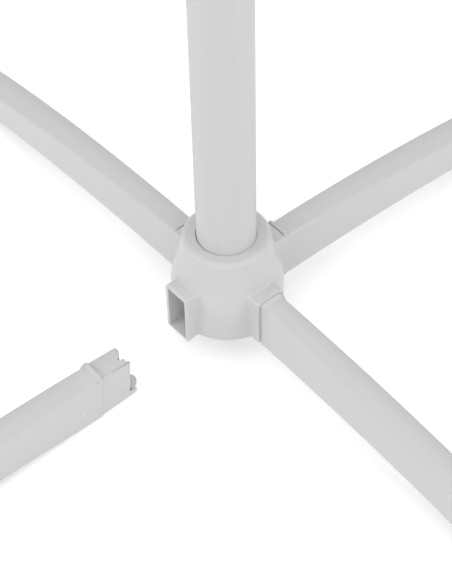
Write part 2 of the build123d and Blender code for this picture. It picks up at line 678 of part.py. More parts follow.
with BuildPart() as runner:
    with BuildSketch(Plane.XY.offset(runner_low)):
        Circle(runner_out)
    extrude(amount=runner_top - runner_low)
    chamfer(runner.edges().group_by(Axis.Z)[-1], length=2)
    # arm forks
    fork_out = fork_in + fork_wall
    with BuildSketch(Plane.XZ.offset(-fork_out)):
        with BuildLine():
            Polyline((runner_out - 8, runner_z - 22), (pivot_r + 2, runner_z - 9))
            ThreePointArc((pivot_r + 2, runner_z - 9), (pivot_r + 10, runner_z),
                          (pivot_r + 2, runner_z + 9))
            Polyline((pivot_r + 2, runner_z + 9), (runner_out - 8, runner_z + 18),
                     (runner_out - 8, runner_z - 22))
        make_face()
    fork_block = extrude(amount=2 * fork_out)
    add([Rot(0, 0, a) * fork_block for a in quarter_turns])
    with BuildSketch(Plane.XZ.offset(-fork_in)):
        with Locations((runner_out + 32, runner_z)):
            Rectangle(60, 80)
    fork_slot = extrude(amount=2 * fork_in, mode=Mode.SUBTRACT)
    add([Rot(0, 0, a) * fork_slot for a in quarter_turns], mode=Mode.SUBTRACT)
    with BuildSketch(Plane.XZ.offset(-fork_out - 1)):
        with Locations((pivot_r, runner_z)):
            Circle(pin_r)
    fork_bore = extrude(amount=2 * fork_out + 2, mode=Mode.SUBTRACT)
    add([Rot(0, 0, a) * fork_bore for a in quarter_turns], mode=Mode.SUBTRACT)
    # lugs and window for the latch lever
    lug_in = latch_w / 2 + side_gap
    with BuildSketch(Plane.XZ.offset(-lug_in - latch_lug_t), mode=Mode.PRIVATE) as lug_face:
        with BuildLine():
            Polyline((runner_out - 4, latch_z - 9), (latch_r, latch_z - 6))
            ThreePointArc((latch_r, latch_z - 6), (latch_r + 6, latch_z), (latch_r, latch_z + 6))
            Polyline((latch_r, latch_z + 6), (runner_out - 4, latch_z + 9), (runner_out - 4, latch_z - 9))
        make_face()
    lug_block = extrude(lug_face.sketch, amount=2 * (lug_in + latch_lug_t), mode=Mode.PRIVATE)
    add(latch_rot * lug_block)
    with BuildSketch(Plane.XY.offset(latch_z - 21), mode=Mode.PRIVATE) as window_face:
        with Locations((runner_out + 14, 0)):
            Rectangle(48, 2 * lug_in)
    window_block = extrude(window_face.sketch, amount=44, mode=Mode.PRIVATE)
    add(latch_rot * window_block, mode=Mode.SUBTRACT)
    with BuildSketch(Plane.XZ.offset(-20), mode=Mode.PRIVATE) as bore_face:
        with Locations((latch_r, latch_z)):
            Circle(latch_pin_r)
    lug_bore = extrude(bore_face.sketch, amount=40, mode=Mode.PRIVATE)
    add(latch_rot * lug_bore, mode=Mode.SUBTRACT)
    # mast bore
    with BuildSketch(Plane.XY.offset(runner_low)):
        Circle(runner_in)
    extrude(amount=runner_top - runner_low, mode=Mode.SUBTRACT)
runner.part.label = "runner"
export_step(runner.part, "parts/runner.step")

with BuildPart() as runner_pins:
    with BuildSketch(Plane.XZ.offset(-fork_out - 1.5)):
        with Locations((pivot_r, runner_z)):
            Circle(pin_r - pin_gap)
    extrude(amount=2 * fork_out + 3)
    with BuildSketch(Plane.XZ.offset(-fork_out - 2)):
        with Locations((pivot_r, runner_z)):
            Circle(pivot_head_r)
    extrude(amount=2)
    with BuildSketch(Plane.XZ.offset(fork_out)):
        with Locations((pivot_r, runner_z)):
            Circle(pivot_head_r - 1)
    extrude(amount=1.6)
    one_pin = runner_pins.part
    add([Rot(0, 0, a) * one_pin for a in quarter_turns])
runner_pins.part.label = "runner_pins"
export_step(runner_pins.part, "parts/runner_pins.step")

# ---- Latch lever --------------------------------------------------------
nose_in = upper_r + 0.2
with BuildPart() as latch_lever:
    with BuildSketch(Plane.XZ.offset(-latch_w / 2), mode=Mode.PRIVATE) as lever_face:
        with BuildLine():
            Polyline((latch_r + 5, latch_z), (latch_r + 3.5, latch_z + 10), (latch_r - 4, latch_z + 16),
                     (nose_in - 2, latch_z + 16), (nose_in - 2, latch_z + 8),
                     (latch_r - 5, latch_z + 4), (latch_r - 4, latch_z - 8),
                     (latch_r + 6, latch_z - 55), (latch_r + 9, latch_z - 62),
                     (latch_r + 15, latch_z - 60), (latch_r + 11, latch_z - 50),
                     (latch_r + 5, latch_z - 12), close=True)
        make_face()
        fillet(lever_face.vertices(), radius=1.2)
    lever_body = extrude(lever_face.sketch, amount=latch_w, mode=Mode.PRIVATE)
    add(latch_rot * lever_body)
    with BuildSketch(Plane.XZ.offset(-20), mode=Mode.PRIVATE) as eye_face:
        with Locations((latch_r, latch_z)):
            Circle(latch_pin_r + pin_gap)
    lever_eye = extrude(eye_face.sketch, amount=40, mode=Mode.PRIVATE)
    add(latch_rot * lever_eye, mode=Mode.SUBTRACT)
    # nose faced to the mast
    with BuildSketch(Plane.XY.offset(runner_low)):
        Circle(nose_in)
    extrude(amount=runner_top - runner_low, mode=Mode.SUBTRACT)
latch_lever.part.label = "latch_lever"
export_step(latch_lever.part, "parts/latch_lever.step")

with BuildPart() as latch_pin:
    pin_end = lug_in + latch_lug_t + 0.6
    with BuildSketch(Plane.XZ.offset(-pin_end), mode=Mode.PRIVATE) as latch_pin_face:
        with Locations((latch_r, latch_z)):
            Circle(latch_pin_r - pin_gap)
    latch_pin_body = extrude(latch_pin_face.sketch, amount=2 * pin_end, mode=Mode.PRIVATE)
    add(latch_rot * latch_pin_body)
latch_pin.part.label = "latch_pin"
export_step(latch_pin.part, "parts/latch_pin.step")

# ---- Arm, end cap and strut bracket (one shape each, four places) --------
with BuildPart() as arm_pattern:
    with BuildSketch(Plane.YZ):
        RectangleRounded(arm_w, arm_h, arm_corner_r)
    extrude(amount=arm_len)
    # round inner end about the pivot
    with BuildSketch(Plane.XZ.offset(-arm_side)):
        Circle(arm_h / 2)
    extrude(amount=arm_w)
    with BuildSketch(Plane.YZ.offset(12)):
        RectangleRounded(arm_w - 2 * arm_wall, arm_h - 2 * arm_wall, 1.6)
    extrude(amount=arm_len, mode=Mode.SUBTRACT)
    with BuildSketch(Plane.XZ.offset(-arm_side - 1)):
        Circle(pin_r + pin_gap)
        for k in range(line_rounds):
            with Locations(((line_first + k * line_pitch - pivot_r) / cos(tilt), 0)):
                Circle(line_d / 2 + line_hole_gap)
    extrude(amount=arm_w + 2, mode=Mode.SUBTRACT)

with BuildPart() as cap_pattern:
    with BuildSketch(Plane.YZ.offset(arm_len)):
        RectangleRounded(arm_w, arm_h, arm_corner_r)
    extrude(amount=6)
    fillet(cap_pattern.edges().group_by(Axis.X)[-1], radius=2.4)
    with BuildSketch(Plane.YZ.offset(arm_len - 16)):
        RectangleRounded(arm_w - 2 * arm_wall - 0.1, arm_h - 2 * arm_wall - 0.1, 1.5)
        RectangleRounded(arm_w - 2 * arm_wall - 4, arm_h - 2 * arm_wall - 4, 1, mode=Mode.SUBTRACT)
    extrude(amount=16)

saddle_len = 44.0
with BuildPart() as bracket_pattern:
    with BuildSketch(Plane.YZ.offset(link_len - saddle_len / 2)):
        with Locations((0, 2.0)):
            RectangleRounded(arm_w + 2 * cheek_t, arm_h + 2 * cheek_t - 4, 3)
        RectangleRounded(arm_w, arm_h, arm_corner_r, mode=Mode.SUBTRACT)
        with Locations((0, -arm_h / 2)):
            Rectangle(arm_w + 10, 8, mode=Mode.SUBTRACT)
    extrude(amount=saddle_len)
    # ear that carries the strut's pivot
    with BuildSketch(Plane.XZ.offset(-arm_side - cheek_t)):
        with BuildLine():
            Polyline((link_len - 16, arm_h / 2 - 4), (link_len - 8, bracket_rise + 1))
            ThreePointArc((link_len - 8, bracket_rise + 1), (link_len, bracket_rise + 8.5),
                          (link_len + 8, bracket_rise + 1))
            Polyline((link_len + 8, bracket_rise + 1), (link_len + 16, arm_h / 2 - 4),
                     (link_len - 16, arm_h / 2 - 4))
        make_face()
    extrude(amount=cheek_t)
    with BuildSketch(Plane.XZ.offset(-arm_side + 2)):
        with Locations((link_len, bracket_rise)):
            Circle(4.5)
    extrude(amount=-2)

with BuildPart() as strut_pattern:
    with BuildSketch(Plane.XZ.offset(-strut_out)):
        with Locations((link_len / 2, 0)):
            SlotOverall(link_len + strut_h, strut_h)
    extrude(amount=strut_t)
    with BuildSketch(Plane.XZ.offset(-strut_out)):
        with Locations((link_len / 2, 0)):
            SlotOverall(link_len + strut_h - 2 * strut_rim, strut_h - 2 * strut_rim)
    extrude(amount=strut_t - strut_web, mode=Mode.SUBTRACT)
    with BuildSketch(Plane.XZ.offset(-strut_out)):
        Circle(pin_r + 2)
    extrude(amount=strut_t)
    with BuildSketch(Plane.XZ.offset(-strut_out - 1)):
        Circle(pin_r + pin_gap)
        with Locations((link_len, 0)):
            Circle(pin_r)
    extrude(amount=strut_t + 2, mode=Mode.SUBTRACT)

with BuildPart() as rivet_pattern:
    with BuildSketch(Plane.XZ.offset(-strut_in)):
        with Locations((link_len, 0)):
            Circle(pin_r - pin_gap)
    extrude(amount=-4)
    with BuildSketch(Plane.XZ.offset(-strut_in - 2)):
        with Locations((link_len, 0)):
            Circle(pivot_head_r)
    extrude(amount=-2.4)
    fillet(rivet_pattern.edges().group_by(Axis.Y)[-1], radius=1.2)

for place, azimuth in arm_azimuths.items():
    with BuildPart() as arm:
        add(arm_frame(azimuth) * arm_pattern.part)
    arm.part.label = f"arm_{place}"
    export_step(arm.part, f"parts/arm_{place}.step")
    with BuildPart() as arm_cap:
        add(arm_frame(azimuth) * cap_pattern.part)
    arm_cap.part.label = f"arm_cap_{place}"
    export_step(arm_cap.part, f"parts/arm_cap_{place}.step")
    with BuildPart() as bracket:
        add(arm_frame(azimuth) * bracket_pattern.part)
    bracket.part.label = f"bracket_{place}"
    export_step(bracket.part, f"parts/bracket_{place}.step")
    with BuildPart() as strut:
        add(strut_frame(azimuth) * strut_pattern.part)
    strut.part.label = f"strut_{place}"
    export_step(strut.part, f"parts/strut_{place}.step")
    with BuildPart() as rivet:
        add(strut_frame(azimuth) * rivet_pattern.part)
    rivet.part.label = f"rivet_{place}"
    export_step(rivet.part, f"parts/rivet_{place}.step")

# ---- Drying line --------------------------------------------------------
# One cord: in each round it runs straight through the hole of each arm, and
# inside the hollow right-hand arm it steps out to the next round.
def line_point(reach, azimuth, across):
    """Point of the line on an arm, `across` to the left of the arm's centre."""
    a = radians(azimuth)
    x = reach * cos(a) - across * sin(a)
    y = reach * sin(a) + across * cos(a)
    return (x, y, runner_z + (reach - pivot_r) * tan(tilt))


line_half = arm_side + 1.5
with BuildPart() as drying_line:
    for k in range(line_rounds):
        reach = line_first + k * line_pitch
        round_points = [line_point(reach, 0, 2)]
        for azimuth in (0, 90, 180, 270, 360):
            if azimuth > 0:
                round_points.append(line_point(reach, azimuth, -line_half))
            if azimuth < 360:
                round_points.append(line_point(reach, azimuth, line_half))
        round_points.append(line_point(reach, 360, -2))
        with BuildLine() as round_path:
            Polyline(round_points)
        with BuildSketch(Plane(origin=round_points[0], z_dir=(0, 1, 0))):
            RegularPolygon(line_d / 2, 8)
        sweep(path=round_path.line, transition=Transition.RIGHT)
        # turn inside the right-hand arm
        with BuildSketch(Plane(origin=line_point(reach, 0, -3), z_dir=(0, 1, 0))):
            RegularPolygon(line_d / 2 + 0.1, 8)
        extrude(amount=6)
    # step from round to round inside that arm
    first_turn = line_point(line_first, 0, 0)
    with BuildSketch(Plane(origin=first_turn, x_dir=(0, 1, 0), z_dir=(cos(tilt), 0, sin(tilt)))):
        RegularPolygon(line_d / 2, 8)
    extrude(amount=(line_rounds - 1) * line_pitch / cos(tilt))
drying_line.part.label = "drying_line"
export_step(drying_line.part, "parts/drying_line.step")
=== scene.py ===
import bmesh
import bpy
import json
from math import atan, cos, pi, radians, sin, tan
from mathutils import Euler, Matrix, Vector


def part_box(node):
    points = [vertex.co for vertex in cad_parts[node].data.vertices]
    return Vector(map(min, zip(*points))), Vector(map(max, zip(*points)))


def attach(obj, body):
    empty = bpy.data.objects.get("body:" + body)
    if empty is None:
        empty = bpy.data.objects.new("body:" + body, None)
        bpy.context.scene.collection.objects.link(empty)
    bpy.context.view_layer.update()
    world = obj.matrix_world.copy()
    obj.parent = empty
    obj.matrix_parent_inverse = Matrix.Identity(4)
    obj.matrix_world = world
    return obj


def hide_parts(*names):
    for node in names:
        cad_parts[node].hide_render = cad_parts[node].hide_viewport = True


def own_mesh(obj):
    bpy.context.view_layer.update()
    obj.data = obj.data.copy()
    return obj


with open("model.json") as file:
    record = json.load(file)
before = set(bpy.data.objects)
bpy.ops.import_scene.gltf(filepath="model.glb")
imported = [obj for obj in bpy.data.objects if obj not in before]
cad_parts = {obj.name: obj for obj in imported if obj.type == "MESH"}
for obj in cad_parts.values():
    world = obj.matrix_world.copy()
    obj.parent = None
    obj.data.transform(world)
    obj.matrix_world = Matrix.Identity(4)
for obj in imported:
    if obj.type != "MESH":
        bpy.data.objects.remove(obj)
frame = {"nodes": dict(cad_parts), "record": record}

bl_info = {
    "name": "Rotary clothesline",
    "version": (1, 0, 0),
    "blender": (4, 5, 0),
    "location": "View3D > Sidebar > Clothesline",
    "description": "Dresses a free-standing rotary clothesline with plug-in legs",
    "category": "Add Mesh",
}

MM = 0.001
ARMS = {"right": 0, "back": 90, "left": 180, "front": 270}
LEGS = {"back_right": 45, "back_left": 135, "front_left": 225, "front_right": 315}
ARM_TILT = 18           # degrees above level at rest
LOOSE_LEG = "front_left"


# ---- Settings -----------------------------------------------------------
class CLOTHESLINE_PG_sizes(bpy.types.PropertyGroup):
    """Sizes that a user would change."""

    peel_size: bpy.props.FloatProperty(
        name="Coat texture", description="Size of the powder coat's soft grain",
        default=1.6 * MM, min=0.2 * MM, unit="LENGTH")
    mould_grain: bpy.props.FloatProperty(
        name="Moulding grain", description="Size of the fine grain on moulded plastic",
        default=0.7 * MM, min=0.1 * MM, unit="LENGTH")
    line_diameter: bpy.props.FloatProperty(
        name="Line", description="Diameter of the drying line",
        default=3.5 * MM, min=1 * MM, unit="LENGTH")
    line_first: bpy.props.FloatProperty(
        name="First round", description="Distance of the line's first round from the mast's axis",
        default=400 * MM, min=100 * MM, unit="LENGTH")
    line_pitch: bpy.props.FloatProperty(
        name="Round pitch", description="Distance from one round of the line to the next",
        default=100 * MM, min=20 * MM, unit="LENGTH")
    line_rounds: bpy.props.IntProperty(
        name="Rounds", description="Rounds of the drying line", default=5, min=1, max=12)
    line_sag: bpy.props.FloatProperty(
        name="Sag", description="Sag of the longest span of the line",
        default=5 * MM, min=0, unit="LENGTH")
    eyelet_flange: bpy.props.FloatProperty(
        name="Eyelet", description="Radius of the eyelets in the arms",
        default=4.6 * MM, min=2 * MM, unit="LENGTH")


class CLOTHESLINE_PG_colours(bpy.types.PropertyGroup):
    """Colours of the finishes."""

    moulding: bpy.props.FloatVectorProperty(
        name="Moulded plastic", description="Hub and legs", subtype="COLOR", size=4,
        default=(0.63, 0.63, 0.63, 1), min=0, max=1)
    coat: bpy.props.FloatVectorProperty(
        name="Coated tube", description="Mast tubes", subtype="COLOR", size=4,
        default=(0.63, 0.63, 0.63, 1), min=0, max=1)
    fitting: bpy.props.FloatVectorProperty(
        name="Grey fittings", description="Crown, runner, collar and caps", subtype="COLOR", size=4,
        default=(0.26, 0.27, 0.28, 1), min=0, max=1)
    handle: bpy.props.FloatVectorProperty(
        name="Handles", description="Knob and latch lever", subtype="COLOR", size=4,
        default=(0.035, 0.04, 0.045, 1), min=0, max=1)
    rubber: bpy.props.FloatVectorProperty(
        name="Rubber", description="Pads under the legs", subtype="COLOR", size=4,
        default=(0.06, 0.06, 0.062, 1), min=0, max=1)
    cord: bpy.props.FloatVectorProperty(
        name="Line", description="Sheath of the drying line", subtype="COLOR", size=4,
        default=(0.55, 0.58, 0.60, 1), min=0, max=1)


# ---- Materials ----------------------------------------------------------
CROWN_CURVE = 14.0      # metres of drop for each square metre across
EDGE_RADIUS = 0.7 * MM  # rounding that sharp moulded corners are shaded with
EDGE_HIGHLIGHT_GAIN = 1.4         # how much lighter the painted highlight makes the colour on such a corner
EDGE_HIGHLIGHT_START = 0.98       # cosine of the normal's turn where the painted highlight starts
EDGE_HIGHLIGHT_FULL = 0.75        # and where it is full
DRIFT_SIZE = 45 * MM    # slow drift of colour and sheen on moulded plastic
DRIFT_TINT = 0.012
DRIFT_ROUGH = 0.03
PALE_BUSH = (0.5, 0.49, 0.45, 1)
BRASS = (0.75, 0.55, 0.25, 1)
STEEL = (0.6, 0.6, 0.6, 1)


def start_material(name):
    """New material with its node tree, its shader and object coordinates."""
    material = bpy.data.materials.new(name)
    material.use_nodes = True
    tree = material.node_tree
    shader = tree.nodes["Principled BSDF"]
    place = tree.nodes.new("ShaderNodeTexCoord").outputs["Object"]
    return material, tree, shader, place


def noise(tree, place, size, detail=3.0, stretch=(1, 1, 1)):
    """Noise value whose grain is about `size` metres."""
    mapping = tree.nodes.new("ShaderNodeMapping")
    mapping.inputs["Scale"].default_value = stretch
    tree.links.new(place, mapping.inputs["Vector"])
    texture = tree.nodes.new("ShaderNodeTexNoise")
    texture.inputs["Scale"].default_value = 1 / size
    texture.inputs["Detail"].default_value = detail
    tree.links.new(mapping.outputs["Vector"], texture.inputs["Vector"])
    return texture.outputs["Fac"]


def spread(tree, value, low, high):
    """Map a noise value to low .. high."""
    node = tree.nodes.new("ShaderNodeMapRange")
    node.inputs["To Min"].default_value = low
    node.inputs["To Max"].default_value = high
    tree.links.new(value, node.inputs["Value"])
    return node.outputs["Result"]


def tint(tree, shader, colour, value, amount):
    """Vary the base colour by `amount` either side with a noise value."""
    node = tree.nodes.new("ShaderNodeMix")
    node.data_type = "RGBA"
    tree.links.new(spread(tree, value, 0.0, 1.0), node.inputs["Factor"])
    node.inputs["A"].default_value = [c * (1 - amount) for c in colour[:3]] + [1]
    node.inputs["B"].default_value = [min(1, c * (1 + amount)) for c in colour[:3]] + [1]
    tree.links.new(node.outputs["Result"], shader.inputs["Base Color"])


def bump(tree, shader, value, height, before=None):
    """Add a bump of `height` metres; returns its normal output."""
    node = tree.nodes.new("ShaderNodeBump")
    node.inputs["Strength"].default_value = 1.0
    node.inputs["Distance"].default_value = height
    tree.links.new(value, node.inputs["Height"])
    if before is not None:
        tree.links.new(before, node.inputs["Normal"])
    tree.links.new(node.outputs["Normal"], shader.inputs["Normal"])
    return node.outputs["Normal"]


def painted_edge_highlight(tree, shader, soft_edge):
    """Painted highlight: lighter base colour on sharp corners, standing for small roundings that
    catch the light.
    """
    facing = tree.nodes.new("ShaderNodeNewGeometry")
    turned = tree.nodes.new("ShaderNodeVectorMath")
    turned.operation = "DOT_PRODUCT"
    tree.links.new(soft_edge.outputs["Normal"], turned.inputs[0])
    tree.links.new(facing.outputs["Normal"], turned.inputs[1])
    gain = tree.nodes.new("ShaderNodeMapRange")
    gain.inputs["From Min"].default_value = EDGE_HIGHLIGHT_START
    gain.inputs["From Max"].default_value = EDGE_HIGHLIGHT_FULL
    gain.inputs["To Min"].default_value = 1.0
    gain.inputs["To Max"].default_value = EDGE_HIGHLIGHT_GAIN
    tree.links.new(turned.outputs["Value"], gain.inputs["Value"])
    lit = tree.nodes.new("ShaderNodeVectorMath")
    lit.operation = "SCALE"
    tree.links.new(shader.inputs["Base Color"].links[0].from_socket, lit.inputs[0])
    tree.links.new(gain.outputs["Result"], lit.inputs["Scale"])
    tree.links.new(lit.outputs["Vector"], shader.inputs["Base Color"])


def crown_height(tree):
    """Slight crown of a leg's flat faces, in metres, from its distance off the middle plane."""
    across = tree.nodes.new("ShaderNodeAttribute")
    across.attribute_type = "GEOMETRY"
    across.attribute_name = "across"
    square = tree.nodes.new("ShaderNodeMath")
    square.operation = "MULTIPLY"
    tree.links.new(across.outputs["Fac"], square.inputs[0])
    tree.links.new(across.outputs["Fac"], square.inputs[1])
    drop = tree.nodes.new("ShaderNodeMath")
    drop.operation = "MULTIPLY"
    drop.inputs[1].default_value = -CROWN_CURVE
    tree.links.new(square.outputs["Value"], drop.inputs[0])
    return drop.outputs["Value"]


def moulded_plastic(name, colour, grain, rough=0.26):
    """Moulded plastic: fine grain, slow colour drift, soft edges with a painted highlight on sharp
    corners, and a sheen that varies.
    """
    material, tree, shader, place = start_material(name)
    soft_edge = tree.nodes.new("ShaderNodeBevel")
    soft_edge.samples = 4
    soft_edge.inputs["Radius"].default_value = EDGE_RADIUS
    fine = noise(tree, place, grain, 2)
    slow = noise(tree, place, DRIFT_SIZE, 1)
    tint(tree, shader, colour, slow, DRIFT_TINT)
    sheen = spread(tree, slow, rough - DRIFT_ROUGH, rough + DRIFT_ROUGH)
    tree.links.new(sheen, shader.inputs["Roughness"])
    first = bump(tree, shader, fine, 0.02 * MM, soft_edge.outputs["Normal"])
    bump(tree, shader, crown_height(tree), 1.0, first)
    # painted highlight: the base colour is made lighter on sharp corners
    painted_edge_highlight(tree, shader, soft_edge)
    shader.inputs["Specular IOR Level"].default_value = 0.3
    return material


def powder_coat(name, colour, peel):
    """Powder-coated tube: orange peel and faint streaks along the tube."""
    material, tree, shader, place = start_material(name)
    streak = noise(tree, place, 5 * MM, 4, stretch=(1, 1, 0.035))
    tint(tree, shader, colour, streak, 0.02)
    tree.links.new(spread(tree, streak, 0.34, 0.46), shader.inputs["Roughness"])
    first = bump(tree, shader, noise(tree, place, peel, 1), 0.02 * MM)
    bump(tree, shader, streak, 0.03 * MM, first)
    shader.inputs["Specular IOR Level"].default_value = 0.25
    return material


def plated_steel(name, colour):
    """Zinc-plated steel with a soft brushed variation."""
    material, tree, shader, place = start_material(name)
    cloud = noise(tree, place, 4 * MM, 4)
    tint(tree, shader, colour, cloud, 0.06)
    shader.inputs["Metallic"].default_value = 1.0
    tree.links.new(spread(tree, cloud, 0.26, 0.4), shader.inputs["Roughness"])
    bump(tree, shader, noise(tree, place, 0.8 * MM, 2), 0.01 * MM)
    return material


def rubber_material(name, colour):
    """Matt rubber with a fine dusty grain."""
    material, tree, shader, place = start_material(name)
    grain = noise(tree, place, 0.9 * MM, 3)
    tint(tree, shader, colour, noise(tree, place, 12 * MM, 4), 0.2)
    tree.links.new(spread(tree, grain, 0.7, 0.9), shader.inputs["Roughness"])
    bump(tree, shader, grain, 0.06 * MM)
    return material


def line_material(name, colour):
    """Smooth plastic sheath of the line, slightly scuffed."""
    material, tree, shader, place = start_material(name)
    scuff = noise(tree, place, 6 * MM, 4)
    tint(tree, shader, colour, scuff, 0.05)
    tree.links.new(spread(tree, scuff, 0.25, 0.45), shader.inputs["Roughness"])
    bump(tree, shader, noise(tree, place, 1.2 * MM, 2), 0.02 * MM)
    return material


def finish_for(slot_name):
    """Material for one of the record's slots."""
    sizes = bpy.context.scene.clothesline_sizes
    colours = bpy.context.scene.clothesline_colours
    found = bpy.data.materials.get(slot_name + "_finish")
    if found:
        return found
    name = slot_name + "_finish"
    if slot_name == "white_plastic":
        return moulded_plastic(name, colours.moulding, sizes.mould_grain)
    if slot_name in ("white_tube", "white_coated_aluminium"):
        return powder_coat(name, colours.coat, sizes.peel_size)
    if slot_name == "grey_plastic":
        return moulded_plastic(name, colours.fitting, sizes.mould_grain, 0.45)
    if slot_name == "dark_plastic":
        return moulded_plastic(name, colours.handle, sizes.mould_grain, 0.38)
    if slot_name == "pale_bush":
        return moulded_plastic(name, PALE_BUSH, sizes.mould_grain, 0.35)
    if slot_name == "grey_rubber":
        return rubber_material(name, colours.rubber)
    if slot_name == "brass":
        return plated_steel(name, BRASS)
    if slot_name == "line_cord":
        return line_material(name, colours.cord)
    return plated_steel(name, STEEL)


class CLOTHESLINE_OT_finishes(bpy.types.Operator):
    """Give every solid of the frame its finish"""

    bl_idname = "clothesline.finishes"
    bl_label = "Finishes"

    def execute(self, context):
        for part in frame["record"]["subparts"]:
            target = frame["nodes"][part["node"]]
            material = finish_for(part["material_slot"])
            for holder in target.material_slots:
                holder.material = material
        return {"FINISHED"}


# ---- Shapes -------------------------------------------------------------
def joint_data(name):
    """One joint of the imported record."""
    for joint in frame["record"]["behaviour"]["joints"]:
        if joint["name"] == name:
            return joint
    raise RuntimeError("the frame has no joint called " + name)


def mesh_object(name, mesh, slot_name, smooth_angle=35):
    """New object of a mesh with a slot's finish, shaded smooth up to an angle."""
    piece = bpy.data.objects.new(name, mesh)
    bpy.context.scene.collection.objects.link(piece)
    if not mesh.materials:
        mesh.materials.append(finish_for(slot_name))
    mesh.shade_smooth()
    mesh.set_sharp_from_angle(angle=radians(smooth_angle))
    return piece


def dressed(piece, body):
    """Make a piece ride on a body."""
    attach(piece, body)
    return piece


def tube_mesh(name, points, radius, sides=10):
    """Closed round tube along a list of points."""
    builder = bmesh.new()
    rings = []
    for k, point in enumerate(points):
        before = points[max(k - 1, 0)]
        after = points[min(k + 1, len(points) - 1)]
        along = (after - before).normalized()
        side = along.cross(Vector((0, 0, 1))).normalized()
        up = side.cross(along)
        ring = []
        for j in range(sides):
            turn = 2 * pi * j / sides
            ring.append(builder.verts.new(point + radius * (cos(turn) * side + sin(turn) * up)))
        rings.append(ring)
    for low, high in zip(rings, rings[1:]):
        for j in range(sides):
            nxt = (j + 1) % sides
            builder.faces.new((low[j], low[nxt], high[nxt], high[j]))
    builder.faces.new(list(reversed(rings[0])))
    builder.faces.new(rings[-1])
    return finished_mesh(name, builder)


def join_rings(builder, rings):
    """Faces from each ring of corners to the next, and from the last to the first."""
    for k, here in enumerate(rings):
        there = rings[(k + 1) % len(rings)]
        for j in range(len(here)):
            nxt = (j + 1) % len(here)
            builder.faces.new((here[j], there[j], there[nxt], here[nxt]))


def lathe_mesh(name, profile, steps=32):
    """Closed ring made by turning a closed profile of (radius, height) about Z."""
    builder = bmesh.new()
    rings = []
    for k in range(steps):
        turn = 2 * pi * k / steps
        rings.append([builder.verts.new((r * cos(turn), r * sin(turn), z)) for r, z in profile])
    join_rings(builder, rings)
    return finished_mesh(name, builder)


def finished_mesh(name, builder):
    """Mesh of a bmesh, with its faces turned outwards."""
    bmesh.ops.recalc_face_normals(builder, faces=builder.faces)
    mesh = bpy.data.meshes.new(name)
    builder.to_mesh(mesh)
    builder.free()
    return mesh


def repeat_tree():
    """Node group that sets a piece on every point, turned as the point says."""
    tree = bpy.data.node_groups.get("set_on_points")
    if tree:
        return tree
    tree = bpy.data.node_groups.new("set_on_points", "GeometryNodeTree")
    for label, kind in (("Points", "NodeSocketGeometry"), ("Piece", "NodeSocketObject"),
                        ("Finish", "NodeSocketMaterial")):
        tree.interface.new_socket(name=label, in_out="INPUT", socket_type=kind)
    tree.interface.new_socket(name="Pieces", in_out="OUTPUT", socket_type="NodeSocketGeometry")
    start = tree.nodes.new("NodeGroupInput")
    piece = tree.nodes.new("GeometryNodeObjectInfo")
    turn = tree.nodes.new("GeometryNodeInputNamedAttribute")
    turn.data_type = "FLOAT_VECTOR"
    turn.inputs["Name"].default_value = "turn"
    to_rotation = tree.nodes.new("FunctionNodeEulerToRotation")
    spread_out = tree.nodes.new("GeometryNodeInstanceOnPoints")
    realize = tree.nodes.new("GeometryNodeRealizeInstances")
    paint = tree.nodes.new("GeometryNodeSetMaterial")
    end = tree.nodes.new("NodeGroupOutput")
    links = tree.links
    links.new(start.outputs["Points"], spread_out.inputs["Points"])
    links.new(start.outputs["Piece"], piece.inputs["Object"])
    links.new(piece.outputs["Geometry"], spread_out.inputs["Instance"])
    links.new(turn.outputs["Attribute"], to_rotation.inputs["Euler"])
    links.new(to_rotation.outputs["Rotation"], spread_out.inputs["Rotation"])
    links.new(spread_out.outputs["Instances"], realize.inputs["Geometry"])
    links.new(realize.outputs["Geometry"], paint.inputs["Geometry"])
    links.new(start.outputs["Finish"], paint.inputs["Material"])
    links.new(paint.outputs["Geometry"], end.inputs["Pieces"])
    return tree


def repeated(name, pattern, places, slot_name):
    """One plain mesh with a copy of the pattern mesh at each (point, turn)."""
    tree = repeat_tree()
    points = bpy.data.meshes.new(name + "_points")
    points.from_pydata([point for point, turn in places], [], [])
    turns = points.attributes.new("turn", "FLOAT_VECTOR", "POINT")
    for k, (point, turn) in enumerate(places):
        turns.data[k].vector = turn
    holder = bpy.data.objects.new(name + "_points", points)
    sample = bpy.data.objects.new(name + "_pattern", pattern)
    for item in (holder, sample):
        bpy.context.scene.collection.objects.link(item)
    setter = holder.modifiers.new("set_on_points", "NODES")
    setter.node_group = tree
    for socket in tree.interface.items_tree:
        if socket.name == "Piece":
            setter[socket.identifier] = sample
        if socket.name == "Finish":
            setter[socket.identifier] = finish_for(slot_name)
    seen = holder.evaluated_get(bpy.context.evaluated_depsgraph_get())
    mesh = bpy.data.meshes.new_from_object(seen)
    for item in (holder, sample):
        bpy.data.objects.remove(item)
    if not mesh.polygons:
        raise RuntimeError("no copies were made for " + name)
    return mesh_object(name, mesh, slot_name)


# ---- Drying line --------------------------------------------------------
LINE_BEND = 10.5 * MM   # the line leaves an arm straight for this far, from its middle plane
SPAN_STEPS = 20


